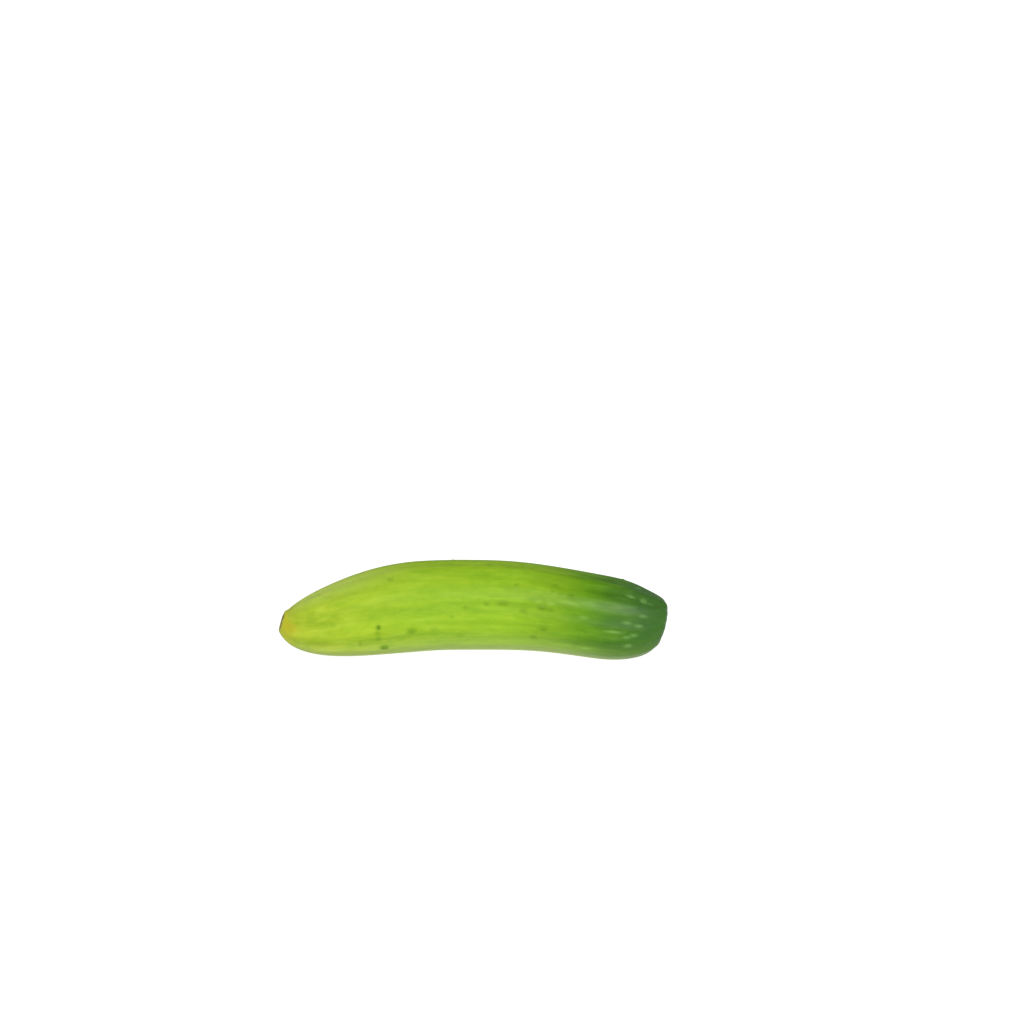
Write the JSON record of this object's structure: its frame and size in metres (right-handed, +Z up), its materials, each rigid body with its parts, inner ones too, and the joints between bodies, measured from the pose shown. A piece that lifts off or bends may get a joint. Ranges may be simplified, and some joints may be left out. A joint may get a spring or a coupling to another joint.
{
  "type": "baby cucumber",
  "caption": "Whole baby cucumber lying on its side: a small bowed fruit, lime green at the blossom end, dark green at the stem end.",
  "frame": {"origin": "on the small flat spot that the fruit rests on, below the middle of its length", "axes": "+X runs along the length from the blossom end to the stem end, +Z is up from the surface, and both ends bow towards -Y"},
  "size_m": [0.1143, 0.0299, 0.0266],
  "materials": {
    "cucumber_skin": null
  },
  "bodies": {
    "root": {"cucumber": "cucumber_skin"}
  },
  "joints": []
}
